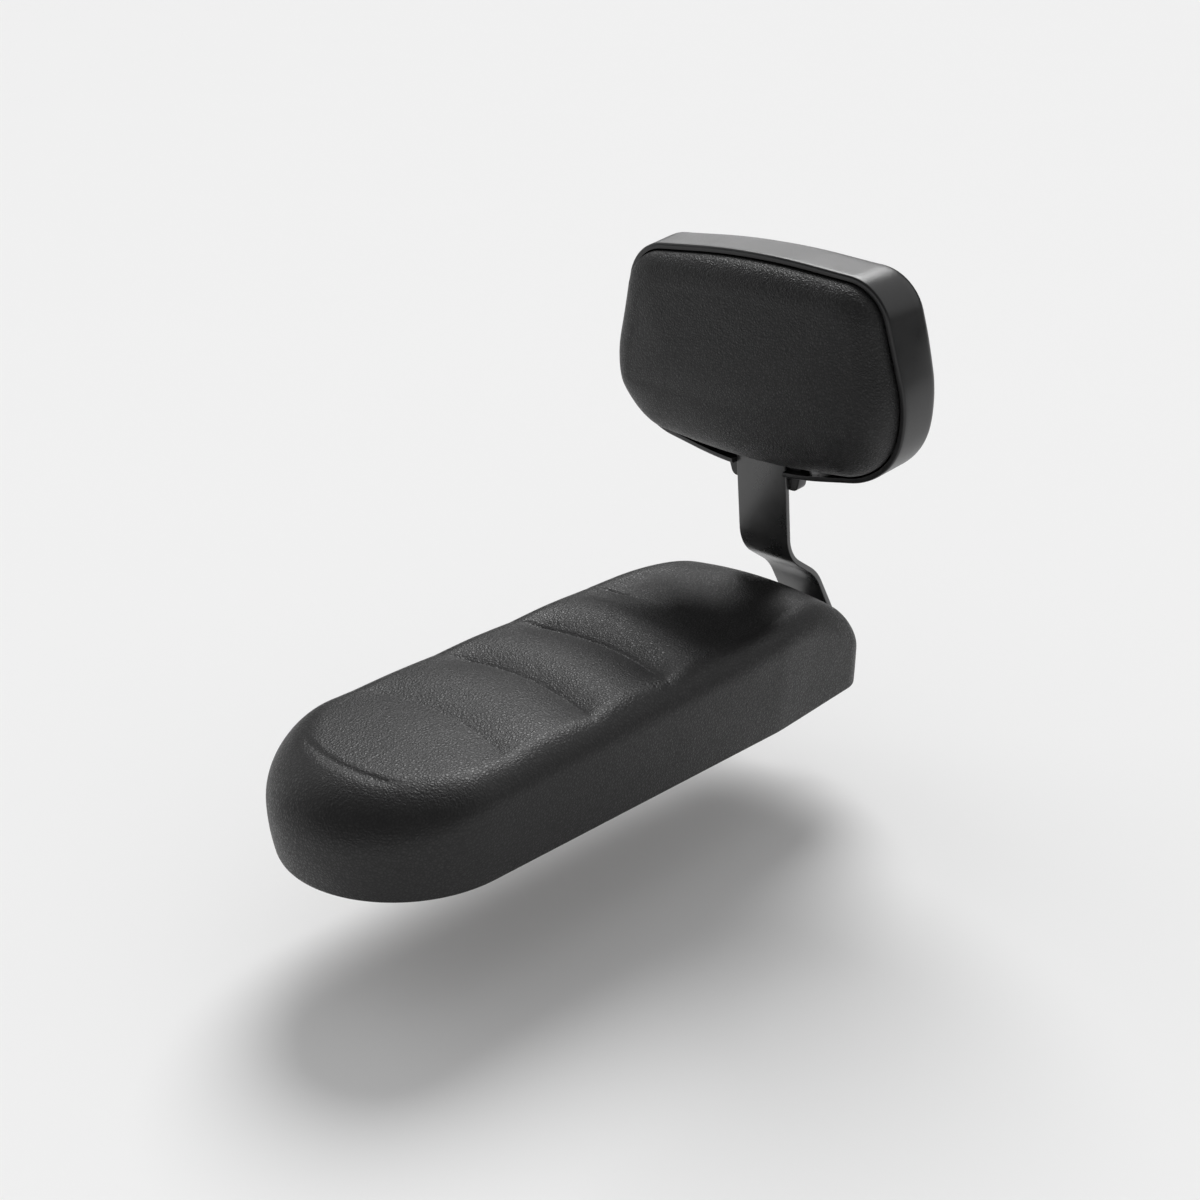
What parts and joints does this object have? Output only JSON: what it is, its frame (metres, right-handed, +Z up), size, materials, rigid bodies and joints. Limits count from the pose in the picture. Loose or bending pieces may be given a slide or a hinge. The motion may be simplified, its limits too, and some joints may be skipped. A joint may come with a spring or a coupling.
{
  "type": "bicycle passenger seat with backrest",
  "caption": "Long padded passenger seat for a bicycle's rear rack, with a small padded backrest in a plastic shell on a bent flat steel bar.",
  "frame": {"origin": "middle of the seat pad's flat underside, on the rack's top face", "axes": "+Z up, the passenger faces -Y, the backrest stands at the +Y end"},
  "size_m": [0.2522, 0.4865, 0.3174],
  "materials": {
    "seat_leather": "satin",
    "pad_leather": "satin",
    "foam": "matte",
    "plywood": "matte",
    "shell_plastic": "satin",
    "bar_paint": "satin",
    "zinc_steel": "satin",
    "black_steel": "satin"
  },
  "bodies": {
    "seat": {"seat_skin": "seat_leather", "seat_foam": "foam", "base_board": "plywood", "tapping_plate": "zinc_steel", "rack_tnut_1": "zinc_steel", "rack_tnut_2": "zinc_steel", "rack_tnut_3": "zinc_steel", "rack_tnut_4": "zinc_steel", "bracket_bolt_1": "black_steel", "bracket_bolt_2": "black_steel", "bracket_washer_1": "black_steel", "bracket_washer_2": "black_steel"},
    "bracket": {"backrest_bar": "bar_paint"},
    "backrest": {"backrest_shell": "shell_plastic", "backrest_skin": "pad_leather", "backrest_foam": "foam", "backrest_board": "plywood", "clamp_plate": "zinc_steel", "backrest_bolt_1": "black_steel", "backrest_bolt_2": "black_steel", "backrest_washer_1": "black_steel", "backrest_washer_2": "black_steel", "board_screw_1": "zinc_steel", "board_screw_2": "zinc_steel", "board_screw_3": "zinc_steel", "board_screw_4": "zinc_steel"}
  },
  "joints": [
    {"name": "reach_slide", "type": "slide", "parent": "seat", "child": "bracket", "axis": [0, 1, 0], "range_m": [0, 0.03]},
    {"name": "height_slide", "type": "slide", "parent": "bracket", "child": "backrest", "axis": [0, -0.1045, 0.9945], "range_m": [0, 0.025]}
  ]
}
